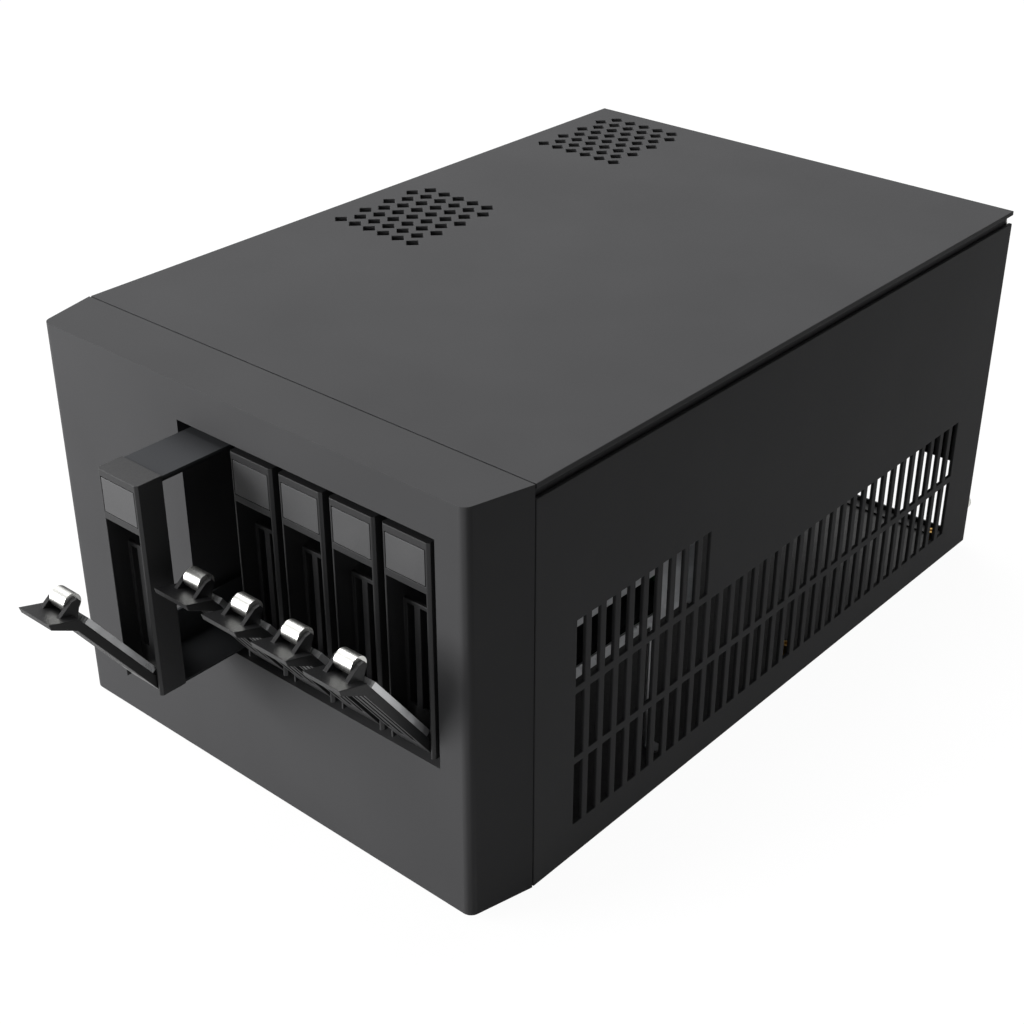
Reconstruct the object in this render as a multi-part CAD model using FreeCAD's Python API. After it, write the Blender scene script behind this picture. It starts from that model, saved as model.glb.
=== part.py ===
"""Home server case for a small mainboard, with a cage of five hot-swap drive trays.

Millimetres. While it is modelled, X runs across the front (right is +), Y runs back from the front
face and Z runs up from the floor. The finished model is then moved along Y, so that its origin is the
middle of the floor area that it covers.
"""
import FreeCAD
import Part
import math
import os
from FreeCAD import Vector

# Case body
CASE_WIDTH = 278.0
CASE_HEIGHT = 205.0
CASE_DEPTH = 426.0
FOOT_HEIGHT = 4.0
FOOT_SIZE = 18.0
FOOT_CORNER = 4.0
FOOT_INSET_X = 30.0
FOOT_INSET_Y = 58.0
PANEL_SHEET = 2.0
COVER_SHEET = 2.5
CHASSIS_SHEET = 1.2
FIT_GAP = 0.3

# Front shell
SHELL_DEPTH = 32.0
SHELL_TAPER = 8.0
SHELL_WALL = 2.5
SHELL_EDGE_RADIUS = 5.0
SHELL_SEAM = 0.8
SLEEVE_WALL = 2.0

# Folds of the chassis sheets
FLOOR_RIM = 12.0
WALL_FOLD = 7.0
COVER_LEG_WIDTH = 5.0
COVER_LEG_HEIGHT = 9.0
COVER_SHADOW_GAP = 4.5
REAR_FLANGE = 9.0
REAR_FLANGE_TOP_GAP = 18.0

# Side vents: upright slots on one grid, with a third row of slots at the front
SLOT_WIDTH = 6.0
SLOT_HEIGHT = 34.0
SLOT_PITCH = 10.0
SLOT_ROW_PITCH = 38.0
SLOT_FIRST_Y = 60.0
SLOT_FIRST_Z = 18.0
SLOT_COLUMNS = 34
SLOT_ROWS = 2
SLOT_TALL_COLUMNS = 10
SLOT_LEFT_SKIPPED_COLUMNS = 23

# Top vents: square holes stood on their corners, measured across the corners
VENT_HOLE = 8.8
VENT_PITCH = 10.4
VENT_FROM_SIDE = 42.0
VENT_WIDTH = 66.0
VENT_LENGTH = 76.0
VENT_FRONT_Y = 176.0
VENT_REAR_Y = 342.0

# Drive bays
BAY_COUNT = 5
BAY_PITCH = 30.3
BAY_FROM_SIDE = 100.7
BAY_FROM_TOP = 23.0
BAY_SIDE_MARGIN = 1.2
BAY_GAP_BELOW = 2.5
BAY_GAP_ABOVE = 3.5
DRIVE_WIDTH = 101.6
DRIVE_LENGTH = 147.0
DRIVE_GAP = 0.4
DRIVE_FRONT_GAP = 1.5
DRIVE_HOLE_RADIUS = 1.7
DRIVE_SLOT_HALF = 2.7
DRIVE_HOLE_SPACING_Y = 44.45
DRIVE_HOLE_SPACING_Z = 95.25
DRIVE_HOLE_FROM_SOCKET = 41.28
PULLED_TRAY = 1
PULLED_OUT = 46.0

# Tray front
TRAY_WIDTH = 26.2
TRAY_WALL = 2.0
TRAY_FRONT_DEPTH = 13.5
TRAY_FRONT_BEVEL = 1.2
CADDY_WIDTH = 25.4
CADDY_SHEET = 1.2
CADDY_LENGTH = 146.0
CADDY_TAB = 14.0
CADDY_SETBACK = 0.6
POCKET_DEPTH = 9.5
POCKET_FLOOR = 1.6
POCKET_HEIGHT = 82.0
POCKET_SLOT_WIDTH = 4.0
POCKET_SLOT_COUNT = 3
PAD_DEPTH = 7.0
PAD_LIP = 1.4

# Swing lever, drawn upright and then swung out
LEVER_OPEN_ANGLE = 36.0
LEVER_LENGTH = 77.0
LEVER_HINGE_Y = 4.0
LEVER_HINGE_HEIGHT = 4.0
LEVER_BARREL_RADIUS = 3.6
LEVER_PLATE = 4.2
LEVER_TIP_FLARE = 6.0
LEVER_FLARE_LENGTH = 15.0
LEVER_TIP_BEVEL = 3.0
LEVER_GROOVE_WIDTH = 3.2
LEVER_GROOVE_DEPTH = 1.2
LEVER_GROOVE_COUNT = 3
HINGE_PIN_RADIUS = 1.5
HINGE_PIN_FIT = 0.05
STRIP_THICKNESS = 2.8
STRIP_FROM = 10.0
STRIP_TO = 61.0
ROLLER_RADIUS = 4.5
ROLLER_WIDTH = 9.5
ROLLER_FROM_HINGE = 68.0
ROLLER_STAND_OFF = 4.6
ROLLER_LUG_THICKNESS = 2.2
ROLLER_LUG_REACH = 2.7
ROLLER_LUG_SINK = 1.0

# Drive cage
CAGE_SHEET = 1.2
GUIDE_BASE = 2.0
GUIDE_FIN = 1.5
GUIDE_SIDE_GAP = 0.5
CAGE_FLANGE = 8.0
CAGE_CUTOUT_FROM_Y = 60.0
CAGE_CUTOUT_TO_Y = 150.0
CAGE_CUTOUT_HEIGHT = 22.0
CAGE_STRIP_HEIGHT = 6.0
CAGE_LEG_Y = 143.0
CAGE_LEG_WIDTH = 6.0
SOCKET_DEPTH = 9.0
SOCKET_GAP = 1.0
SOCKET_WIDTH = 7.0
SOCKET_HEIGHT = 44.0
SOCKET_SLOT = 2.4
SOCKET_SLOT_DEPTH = 6.0
BOARD_THICKNESS = 1.6
BACKPLANE_SLOT_WIDTH = 8.0
BACKPLANE_SLOT_HEIGHT = 70.0

# Rear wall and mainboard place
PORT_WIDTH = 158.75
PORT_HEIGHT = 44.45
PORT_FROM_SIDE = 10.0
PORT_BELOW_BOARD_TOP = 3.8
STANDOFF_HEIGHT = 6.35
STANDOFF_ACROSS = 5.5
STANDOFF_HOLE_RADIUS = 1.25
STANDOFF_HOLE_FLOOR = 1.0
STANDOFF_SPACING_X = 157.48
STANDOFF_SPACING_Y = 154.94
STANDOFF_FROM_PORT_EDGE = 4.35
STANDOFF_FROM_REAR = 11.0
SUPPLY_WIDTH = 63.5
SUPPLY_HEIGHT = 125.0
SUPPLY_DEPTH = 100.0
SUPPLY_SIDE_GAP = 3.25
SUPPLY_HOLE_INSET = 6.0
SUPPLY_HOLE_RADIUS = 2.0
SUPPLY_WINDOW_SIDE = 5.0
SUPPLY_WINDOW_END = 12.5
LEDGE_HEIGHT = 8.0
LEDGE_FLANGE = 8.0
LEDGE_SIDE_INSET = 12.0
CARD_FROM_PORT = 11.25
CARD_SLOT_PITCH = -20.32
CARD_SLOT_COUNT = 2
CARD_SLOT_WIDTH = 12.5
CARD_SLOT_HEIGHT = 100.0
CARD_SLOT_Z = 8.0
CARD_COVER_WIDTH = 18.4
CARD_COVER_SHEET = 0.9
CARD_COVER_TOP = 14.0
CARD_COVER_BOTTOM = 3.0
CARD_COVER_NOTCH = 4.4

# Rear fan
FAN_SIZE = 120.0
FAN_DEPTH = 25.0
FAN_BORE_RADIUS = 58.0
FAN_FROM_SIDE = 87.0
FAN_FROM_TOP = 77.0
FAN_HUB_RADIUS = 20.0
FAN_HUB_LENGTH = 17.0
FAN_BOSS_LENGTH = 4.5
FAN_STRUT_WIDTH = 6.0
FAN_STRUT_SINK = 1.0
FAN_STRUT_COUNT = 4
FAN_BLADE_COUNT = 6
FAN_BLADE_CHORD = 23.0
FAN_BLADE_THICKNESS = 1.6
FAN_BLADE_ROOT_PITCH = 46.0
FAN_BLADE_TIP_PITCH = 30.0
FAN_TIP_GAP = 2.5
FAN_SHAFT_RADIUS = 2.0
FAN_SHAFT_FIT = 0.05
FAN_RUNNING_GAP = 0.6
FAN_BLADE_ROOT_SINK = 4.0
FAN_STRUT_TURN = 45.0
GRILLE_HOLE = 15.5
GRILLE_PITCH = 17.6

# Thumbscrews and the power button
SCREW_RADIUS = 1.6
SCREW_HOLE_GAP = 0.3
THUMB_HEAD_RADIUS = 4.5
THUMB_HEAD_HEIGHT = 5.0
THUMB_FROM_FOLD_EDGE = 3.8
THUMB_Z = 23.0
BUTTON_SIZE = 12.0
BUTTON_PROUD = 1.0
BUTTON_LIP = 1.6
BUTTON_LIP_THICKNESS = 1.2
BUTTON_FROM_FRONT = 16.0
BUTTON_Z = 150.0

# Places worked out from the sizes above
HALF_WIDTH = CASE_WIDTH / 2
BODY_BOTTOM = FOOT_HEIGHT
BODY_TOP = FOOT_HEIGHT + CASE_HEIGHT
FLOOR_TOP = BODY_BOTTOM + CHASSIS_SHEET
COVER_UNDER = BODY_TOP - COVER_SHEET
INNER_HALF = HALF_WIDTH - PANEL_SHEET
REAR_OUTER_Y = CASE_DEPTH - PANEL_SHEET
REAR_INNER_Y = REAR_OUTER_Y - CHASSIS_SHEET
PANEL_FRONT_Y = SHELL_DEPTH + SHELL_SEAM
WALL_BACK_Y = SHELL_DEPTH + CHASSIS_SHEET
SIDE_TOP = COVER_UNDER - COVER_SHADOW_GAP
LEG_INNER = INNER_HALF - FIT_GAP - COVER_LEG_WIDTH
FLANGE_HALF = LEG_INNER - FIT_GAP
VENT_X = VENT_FROM_SIDE - HALF_WIDTH

TRAY_HEIGHT = DRIVE_WIDTH + 2 * (DRIVE_GAP + CADDY_SHEET + CADDY_SETBACK)
TRAY_TOP = BODY_TOP - BAY_FROM_TOP
TRAY_BOTTOM = TRAY_TOP - TRAY_HEIGHT
BAY_CENTRE_X = HALF_WIDTH - BAY_FROM_SIDE
CADDY_BOTTOM = TRAY_BOTTOM + (TRAY_HEIGHT - DRIVE_WIDTH) / 2 - DRIVE_GAP - CADDY_SHEET
CADDY_TOP = CADDY_BOTTOM + DRIVE_WIDTH + 2 * (DRIVE_GAP + CADDY_SHEET)
BAY_HALF = BAY_COUNT * BAY_PITCH / 2 + BAY_SIDE_MARGIN
BAY_LEFT = BAY_CENTRE_X - BAY_HALF
BAY_RIGHT = BAY_CENTRE_X + BAY_HALF
BAY_BOTTOM = TRAY_BOTTOM - BAY_GAP_BELOW
BAY_TOP = TRAY_TOP + BAY_GAP_ABOVE
HINGE_Z = TRAY_BOTTOM + LEVER_HINGE_HEIGHT
POCKET_HALF = TRAY_WIDTH / 2 - TRAY_WALL
POCKET_TOP = TRAY_BOTTOM + POCKET_HEIGHT
LEVER_HALF = POCKET_HALF - 2 * FIT_GAP
LEVER_INNER_FACE = LEVER_PLATE - LEVER_BARREL_RADIUS

CADDY_START = TRAY_FRONT_DEPTH
DRIVE_START = TRAY_FRONT_DEPTH + DRIVE_FRONT_GAP
BACKPLANE_Y = DRIVE_START + DRIVE_LENGTH + SOCKET_GAP + SOCKET_DEPTH
GUIDE_HALF = BAY_COUNT * BAY_PITCH / 2 + (BAY_PITCH - CADDY_WIDTH) / 2 - GUIDE_SIDE_GAP
GUIDE_LOW_TOP = CADDY_BOTTOM - FIT_GAP
GUIDE_HIGH_BOTTOM = CADDY_TOP + FIT_GAP
CAGE_FLOOR_TOP = GUIDE_LOW_TOP - GUIDE_BASE
CAGE_ROOF_BOTTOM = GUIDE_HIGH_BOTTOM + GUIDE_BASE

BOARD_TOP = FLOOR_TOP + STANDOFF_HEIGHT + BOARD_THICKNESS
PORT_BOTTOM = BOARD_TOP - PORT_BELOW_BOARD_TOP
PORT_RIGHT_X = HALF_WIDTH - PORT_FROM_SIDE
STANDOFF_RIGHT_X = PORT_RIGHT_X - STANDOFF_FROM_PORT_EDGE
SUPPLY_X = SUPPLY_SIDE_GAP + SUPPLY_WIDTH / 2 - INNER_HALF
SUPPLY_BOTTOM = FLOOR_TOP + LEDGE_HEIGHT
SUPPLY_Z = SUPPLY_BOTTOM + SUPPLY_HEIGHT / 2
FAN_X = HALF_WIDTH - FAN_FROM_SIDE
FAN_CENTRE_Z = BODY_TOP - FAN_FROM_TOP
FAN_FRONT_Y = REAR_INNER_Y - FAN_DEPTH
CARD_SLOT_X = PORT_RIGHT_X - PORT_WIDTH - CARD_FROM_PORT
CARD_BOTTOM = FLOOR_TOP + CARD_SLOT_Z
CARD_TOP = CARD_BOTTOM + CARD_SLOT_HEIGHT
THUMB_CENTRE_Z = BODY_BOTTOM + THUMB_Z
THUMB_X = HALF_WIDTH - REAR_FLANGE + THUMB_FROM_FOLD_EDGE
SCREW_HOLE_RADIUS = SCREW_RADIUS + SCREW_HOLE_GAP
CUT = 1.0

X_AXIS = Vector(1, 0, 0)
Y_AXIS = Vector(0, 1, 0)
Z_AXIS = Vector(0, 0, 1)


def block(x0, x1, y0, y1, z0, z1):
    """Box between two corners, with the corners in any order along X."""
    return Part.makeBox(abs(x1 - x0), y1 - y0, z1 - z0, Vector(min(x0, x1), y0, z0))


def prism(points, direction):
    """Solid swept along a vector from a closed outline."""
    outline = Part.makePolygon(points + [points[0]])
    return Part.Face(outline).extrude(direction)


def rod(radius, start, direction, length):
    """Round bar from a start point along a direction."""
    return Part.makeCylinder(radius, length, start, direction)


def cornered(centre, corners, reach, direction):
    """Bar with even sides about a line from a centre point, with its corners at a given reach."""
    axis = Vector(direction).normalize()
    side = Vector(0, 0, 1) if abs(axis.z) < 0.5 else Vector(0, 1, 0)
    other = axis.cross(side)
    points = []
    for corner in range(corners):
        angle = 2 * math.pi * corner / corners
        points.append(centre + side * (reach * math.cos(angle)) + other * (reach * math.sin(angle)))
    return prism(points, direction)


def faceted(low, high):
    """Solid between two outlines of as many corners, with two flat faces along each side."""
    count = len(low)
    outlines = [low, high]
    for corner in range(count):
        after = (corner + 1) % count
        outlines.append([low[corner], low[after], high[after]])
        outlines.append([low[corner], high[after], high[corner]])
    faces = [Part.Face(Part.makePolygon(points + [points[0]])) for points in outlines]
    return Part.Solid(Part.makeShell(faces))


def holes(cutters):
    """Group of cutters that is taken out in one step."""
    return Part.makeCompound(cutters)


def edges_where(shape, test):
    """Straight edges of a shape whose two ends pass a test."""
    found = []
    for edge in shape.Edges:
        ends = [vertex.Point for vertex in edge.Vertexes]
        if len(ends) == 2 and all(test(point) for point in ends):
            found.append(edge)
    return found


def near(a, b):
    return abs(a - b) < 0.01


def bay_x(number):
    """Middle of a bay, counted from the left."""
    return BAY_CENTRE_X + (number - (BAY_COUNT + 1) / 2) * BAY_PITCH


def front_panel():
    front_half = HALF_WIDTH - SHELL_TAPER
    slope = SHELL_TAPER / SHELL_DEPTH
    side_wall = SHELL_WALL * math.sqrt(1 + slope * slope)
    height = Vector(0, 0, CASE_HEIGHT)
    shell = prism([Vector(-front_half, 0, BODY_BOTTOM), Vector(front_half, 0, BODY_BOTTOM),
                   Vector(HALF_WIDTH, SHELL_DEPTH, BODY_BOTTOM),
                   Vector(-HALF_WIDTH, SHELL_DEPTH, BODY_BOTTOM)], height)
    uprights = edges_where(shell, lambda p: near(p.y, 0) and near(abs(p.x), front_half))
    uprights = [edge for edge in uprights if near(edge.Length, CASE_HEIGHT)]
    shell = shell.makeFillet(SHELL_EDGE_RADIUS, uprights)

    def inner_half(y):
        return front_half + slope * y - side_wall

    back = SHELL_DEPTH + CUT
    low = BODY_BOTTOM + SHELL_WALL
    hollow = prism([Vector(-inner_half(SHELL_WALL), SHELL_WALL, low),
                    Vector(inner_half(SHELL_WALL), SHELL_WALL, low),
                    Vector(inner_half(back), back, low), Vector(-inner_half(back), back, low)],
                   Vector(0, 0, CASE_HEIGHT - 2 * SHELL_WALL))
    shell = shell.cut(hollow)
    sleeve = block(BAY_LEFT - SLEEVE_WALL, BAY_RIGHT + SLEEVE_WALL, SHELL_WALL, SHELL_DEPTH,
                   BAY_BOTTOM - SLEEVE_WALL, BAY_TOP + SLEEVE_WALL)
    opening = block(BAY_LEFT, BAY_RIGHT, -CUT, back, BAY_BOTTOM, BAY_TOP)
    button_hole = button_block(BUTTON_SIZE / 2 + FIT_GAP, -CUT, SHELL_WALL + CUT)
    return shell.fuse(sleeve).cut(opening).cut(button_hole).removeSplitter()


def power_button_place():
    """Point on the shell's left wall, and the direction in which the button is pressed."""
    slope = SHELL_TAPER / SHELL_DEPTH
    x = -(HALF_WIDTH - SHELL_TAPER + slope * BUTTON_FROM_FRONT)
    inward = Vector(1, slope, 0).normalize()
    return Vector(x, BUTTON_FROM_FRONT, BODY_BOTTOM + BUTTON_Z), inward


def button_block(half, start, end):
    """Square bar along the button's travel, between two depths inward of the shell's left wall."""
    point, inward = power_button_place()
    along = Z_AXIS.cross(inward) * half
    up = Z_AXIS * half
    base = point + inward * start
    return prism([base - along - up, base + along - up, base + along + up, base - along + up],
                 inward * (end - start))


def power_button():
    half = BUTTON_SIZE / 2
    behind_wall = SHELL_WALL + FIT_GAP
    lip_end = behind_wall + BUTTON_LIP_THICKNESS
    return button_block(half, -BUTTON_PROUD, lip_end).fuse(
        button_block(half + BUTTON_LIP, behind_wall, lip_end)).removeSplitter()


def hole_grid(x0, x1, y0, y1, pitch, hole):
    """Centres of a staggered grid of holes that fills a rectangle."""
    row_pitch = pitch * math.sqrt(3) / 2
    rows = int((y1 - y0 - hole) / row_pitch) + 1
    columns = int((x1 - x0 - hole) / pitch) + 1
    first_x = (x0 + x1) / 2 - (columns - 1) * pitch / 2
    first_y = (y0 + y1) / 2 - (rows - 1) * row_pitch / 2
    centres = []
    for row in range(rows):
        shift = pitch / 2 * (row % 2)
        for column in range(columns - row % 2):
            centres.append((first_x + shift + column * pitch, first_y + row * row_pitch))
    return centres


def top_cover():
    plate = block(-HALF_WIDTH, HALF_WIDTH, PANEL_FRONT_Y, CASE_DEPTH, COVER_UNDER, BODY_TOP)
    cutters = []
    for vent_y in (VENT_FRONT_Y, VENT_REAR_Y):
        grid = hole_grid(VENT_X - VENT_WIDTH / 2, VENT_X + VENT_WIDTH / 2,
                         vent_y, vent_y + VENT_LENGTH, VENT_PITCH, VENT_HOLE)
        for x, y in grid:
            centre = Vector(x, y, COVER_UNDER - CUT)
            cutters.append(cornered(centre, 4, VENT_HOLE / 2, Vector(0, 0, COVER_SHEET + 2 * CUT)))
    cover = plate.cut(holes(cutters))
    for side in (-1, 1):
        leg = block(side * LEG_INNER, side * (LEG_INNER + COVER_LEG_WIDTH), WALL_BACK_Y, REAR_INNER_Y,
                    COVER_UNDER - COVER_LEG_HEIGHT, COVER_UNDER)
        cover = cover.fuse(leg)
    return cover.removeSplitter()


def side_panel(side, first_column, tall_columns):
    """Side sheet with a slotted vent, and a rear fold whose open notch slides under a thumbscrew."""
    sheet = block(side * INNER_HALF, side * HALF_WIDTH, PANEL_FRONT_Y, CASE_DEPTH, BODY_BOTTOM, SIDE_TOP)
    fold = block(side * (HALF_WIDTH - REAR_FLANGE), side * INNER_HALF, REAR_OUTER_Y, CASE_DEPTH,
                 BODY_BOTTOM, SIDE_TOP - REAR_FLANGE_TOP_GAP)
    cutters = []
    for column in range(first_column, SLOT_COLUMNS):
        rows = SLOT_ROWS + 1 if column < tall_columns else SLOT_ROWS
        y = SLOT_FIRST_Y + column * SLOT_PITCH
        for row in range(rows):
            z = BODY_BOTTOM + SLOT_FIRST_Z + row * SLOT_ROW_PITCH
            cutters.append(block(side * (INNER_HALF - CUT), side * (HALF_WIDTH + CUT),
                                 y, y + SLOT_WIDTH, z, z + SLOT_HEIGHT))
    cutters.append(block(side * (HALF_WIDTH - REAR_FLANGE - CUT), side * (THUMB_X + SCREW_HOLE_RADIUS),
                         REAR_OUTER_Y - CUT, CASE_DEPTH + CUT, THUMB_CENTRE_Z - SCREW_HOLE_RADIUS,
                         THUMB_CENTRE_Z + SCREW_HOLE_RADIUS))
    return sheet.fuse(fold).removeSplitter().cut(holes(cutters))


def bottom_panel():
    outer = INNER_HALF
    inner = outer - CHASSIS_SHEET
    rim = BODY_BOTTOM + FLOOR_RIM
    section = [(-outer, BODY_BOTTOM), (outer, BODY_BOTTOM), (outer, rim), (inner, rim),
               (inner, FLOOR_TOP), (-inner, FLOOR_TOP), (-inner, rim), (-outer, rim)]
    points = [Vector(x, SHELL_DEPTH, z) for x, z in section]
    return prism(points, Vector(0, REAR_OUTER_Y - SHELL_DEPTH, 0))


def wall_section(outer_y, inner_y, fold_y):
    """Sheet wall folded along its top and its foot, drawn across the case."""
    section = [(outer_y, FLOOR_TOP), (fold_y, FLOOR_TOP), (fold_y, FLOOR_TOP + CHASSIS_SHEET),
               (inner_y, FLOOR_TOP + CHASSIS_SHEET), (inner_y, COVER_UNDER - CHASSIS_SHEET),
               (fold_y, COVER_UNDER - CHASSIS_SHEET), (fold_y, COVER_UNDER), (outer_y, COVER_UNDER)]
    points = [Vector(-FLANGE_HALF, y, z) for y, z in section]
    return prism(points, Vector(2 * FLANGE_HALF, 0, 0))


def front_wall():
    wall = wall_section(SHELL_DEPTH, WALL_BACK_Y, WALL_BACK_Y + WALL_FOLD)
    opening = block(BAY_LEFT, BAY_RIGHT, SHELL_DEPTH - CUT, WALL_BACK_Y + CUT, BAY_BOTTOM, BAY_TOP)
    return wall.cut(opening)


def rear_panel():
    wall = wall_section(REAR_OUTER_Y, REAR_INNER_Y, REAR_INNER_Y - WALL_FOLD)
    edge_half = INNER_HALF - FIT_GAP
    wings = block(-edge_half, edge_half, REAR_INNER_Y, REAR_OUTER_Y, BODY_BOTTOM + FLOOR_RIM + FIT_GAP,
                  COVER_UNDER - FIT_GAP)
    wall = wall.fuse(wings).removeSplitter()
    front = REAR_INNER_Y - WALL_FOLD - CUT
    through = REAR_OUTER_Y + CUT
    depth = through - REAR_INNER_Y + CUT
    behind = REAR_INNER_Y - CUT
    cutters = [block(PORT_RIGHT_X - PORT_WIDTH, PORT_RIGHT_X, front, through, PORT_BOTTOM,
                     PORT_BOTTOM + PORT_HEIGHT)]
    half_x = SUPPLY_WIDTH / 2
    half_z = SUPPLY_HEIGHT / 2
    cutters.append(block(SUPPLY_X - half_x + SUPPLY_WINDOW_SIDE, SUPPLY_X + half_x - SUPPLY_WINDOW_SIDE,
                         behind, through, SUPPLY_Z - half_z + SUPPLY_WINDOW_END,
                         SUPPLY_Z + half_z - SUPPLY_WINDOW_END))
    for side_x in (-1, 1):
        for side_z in (-1, 1):
            centre = Vector(SUPPLY_X + side_x * (half_x - SUPPLY_HOLE_INSET), behind,
                            SUPPLY_Z + side_z * (half_z - SUPPLY_HOLE_INSET))
            cutters.append(rod(SUPPLY_HOLE_RADIUS, centre, Y_AXIS, depth))
    reach = FAN_BORE_RADIUS - GRILLE_HOLE / 2
    grid = hole_grid(-FAN_BORE_RADIUS, FAN_BORE_RADIUS, -FAN_BORE_RADIUS, FAN_BORE_RADIUS,
                     GRILLE_PITCH, GRILLE_HOLE)
    for x, z in grid:
        if math.hypot(x, z) < reach:
            cutters.append(cornered(Vector(FAN_X + x, behind, FAN_CENTRE_Z + z), 4, GRILLE_HOLE / 2,
                                    Vector(0, depth, 0)))
    for number in range(CARD_SLOT_COUNT):
        x = card_slot_x(number)
        cutters.append(block(x - CARD_SLOT_WIDTH / 2, x + CARD_SLOT_WIDTH / 2, behind, through,
                             CARD_BOTTOM, CARD_TOP))
    for side in (-1, 1):
        cutters.append(block(side * (THUMB_X - SCREW_HOLE_RADIUS), side * (THUMB_X + SCREW_HOLE_RADIUS),
                             behind, through, THUMB_CENTRE_Z - SCREW_HOLE_RADIUS,
                             THUMB_CENTRE_Z + SCREW_HOLE_RADIUS))
    return wall.cut(holes(cutters))


def feet():
    """Square pads with cut corners, counted from the front left."""
    outer = FOOT_SIZE / 2
    inner = outer - FOOT_CORNER
    outline = [(-inner, -outer), (inner, -outer), (outer, -inner), (outer, inner),
               (inner, outer), (-inner, outer), (-outer, inner), (-outer, -inner)]
    solids = {}
    number = 0
    for y in (FOOT_INSET_Y, CASE_DEPTH - FOOT_INSET_Y):
        for side in (-1, 1):
            number += 1
            x = side * (HALF_WIDTH - FOOT_INSET_X)
            points = [Vector(x + dx, y + dy, 0) for dx, dy in outline]
            solids["foot_%d" % number] = prism(points, Vector(0, 0, FOOT_HEIGHT))
    return solids


def rear_thumbscrews():
    solids = []
    for side in (-1, 1):
        start = Vector(side * THUMB_X, CASE_DEPTH, THUMB_CENTRE_Z)
        head = rod(THUMB_HEAD_RADIUS, start, Y_AXIS, THUMB_HEAD_HEIGHT)
        shank = rod(SCREW_RADIUS, start, -Y_AXIS, PANEL_SHEET + CHASSIS_SHEET)
        solids.append(head.fuse(shank))
    return holes(solids)


def card_slot_x(number):
    return CARD_SLOT_X + number * CARD_SLOT_PITCH


def card_slot_cover(number):
    """Blanking strip inside the rear wall, narrow at its foot and notched beside its fixing."""
    x = card_slot_x(number)
    half = CARD_COVER_WIDTH / 2
    foot = CARD_SLOT_WIDTH / 2
    y0 = REAR_INNER_Y - CARD_COVER_SHEET
    low = CARD_BOTTOM - CARD_COVER_BOTTOM
    high = CARD_TOP + CARD_COVER_TOP
    outline = [(-foot, low), (foot, low), (foot, CARD_BOTTOM), (half, CARD_BOTTOM + half - foot),
               (half, high), (-half, high), (-half, CARD_BOTTOM + half - foot), (-foot, CARD_BOTTOM)]
    strip = prism([Vector(x + dx, y0, z) for dx, z in outline], Vector(0, CARD_COVER_SHEET, 0))
    notch_z = CARD_TOP + CARD_COVER_TOP / 2
    return strip.cut(block(x - CARD_COVER_NOTCH / 2, x + half + CUT, y0 - CUT, REAR_INNER_Y + CUT,
                           notch_z - CARD_COVER_NOTCH / 2, notch_z + CARD_COVER_NOTCH / 2))


def board_standoffs():
    solids = []
    rear_y = REAR_INNER_Y - STANDOFF_FROM_REAR
    for x in (STANDOFF_RIGHT_X, STANDOFF_RIGHT_X - STANDOFF_SPACING_X):
        for y in (rear_y, rear_y - STANDOFF_SPACING_Y):
            base = Vector(x, y, FLOOR_TOP)
            post = cornered(base, 6, STANDOFF_ACROSS / math.sqrt(3), Vector(0, 0, STANDOFF_HEIGHT))
            hole_start = base + Z_AXIS * STANDOFF_HOLE_FLOOR
            solids.append(post.cut(rod(STANDOFF_HOLE_RADIUS, hole_start, Z_AXIS, STANDOFF_HEIGHT)))
    return holes(solids)


def power_supply_ledge():
    """Hat-shaped channel that the power supply lies on."""
    outer = SUPPLY_WIDTH / 2 - LEDGE_SIDE_INSET
    inner = outer - CHASSIS_SHEET
    rim = outer + LEDGE_FLANGE
    low = FLOOR_TOP
    step = low + CHASSIS_SHEET
    top = SUPPLY_BOTTOM
    under = top - CHASSIS_SHEET
    section = [(-rim, low), (-inner, low), (-inner, under), (inner, under), (inner, low), (rim, low),
               (rim, step), (outer, step), (outer, top), (-outer, top), (-outer, step), (-rim, step)]
    start = REAR_INNER_Y - SUPPLY_DEPTH
    length = SUPPLY_DEPTH - WALL_FOLD - FIT_GAP
    return prism([Vector(SUPPLY_X + x, start, z) for x, z in section], Vector(0, length, 0))


def cage_wall(side):
    """Cage side plate with its folds, a vent cut-out, and a leg that stands on the case floor."""
    face = BAY_CENTRE_X + side * GUIDE_HALF
    back = face + side * CAGE_SHEET
    low = CAGE_FLOOR_TOP - CAGE_SHEET
    high = CAGE_ROOF_BOTTOM + CAGE_SHEET
    wall = block(face, back, WALL_BACK_Y, BACKPLANE_Y, low, high)
    front_fold = block(face, face + side * CAGE_FLANGE, WALL_BACK_Y, WALL_BACK_Y + CAGE_SHEET, low, high)
    rear_fold = block(face, face + side * CAGE_FLANGE, BACKPLANE_Y - CAGE_SHEET, BACKPLANE_Y, low, high)
    leg = block(face, back, CAGE_LEG_Y, CAGE_LEG_Y + CAGE_LEG_WIDTH, FLOOR_TOP, low)
    foot = block(face, face + side * CAGE_FLANGE, CAGE_LEG_Y, CAGE_LEG_Y + CAGE_LEG_WIDTH,
                 FLOOR_TOP, FLOOR_TOP + CAGE_SHEET)
    cutout = block(face - side * CUT, back + side * CUT, CAGE_CUTOUT_FROM_Y, CAGE_CUTOUT_TO_Y,
                   low + CAGE_STRIP_HEIGHT, low + CAGE_STRIP_HEIGHT + CAGE_CUTOUT_HEIGHT)
    return wall.fuse([front_fold, rear_fold, leg, foot]).cut(cutout).removeSplitter()


def cage_plate(z):
    """Flat cage floor or roof between the side plates."""
    return block(BAY_CENTRE_X - GUIDE_HALF, BAY_CENTRE_X + GUIDE_HALF, WALL_BACK_Y, BACKPLANE_Y,
                 z, z + CAGE_SHEET)


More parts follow.
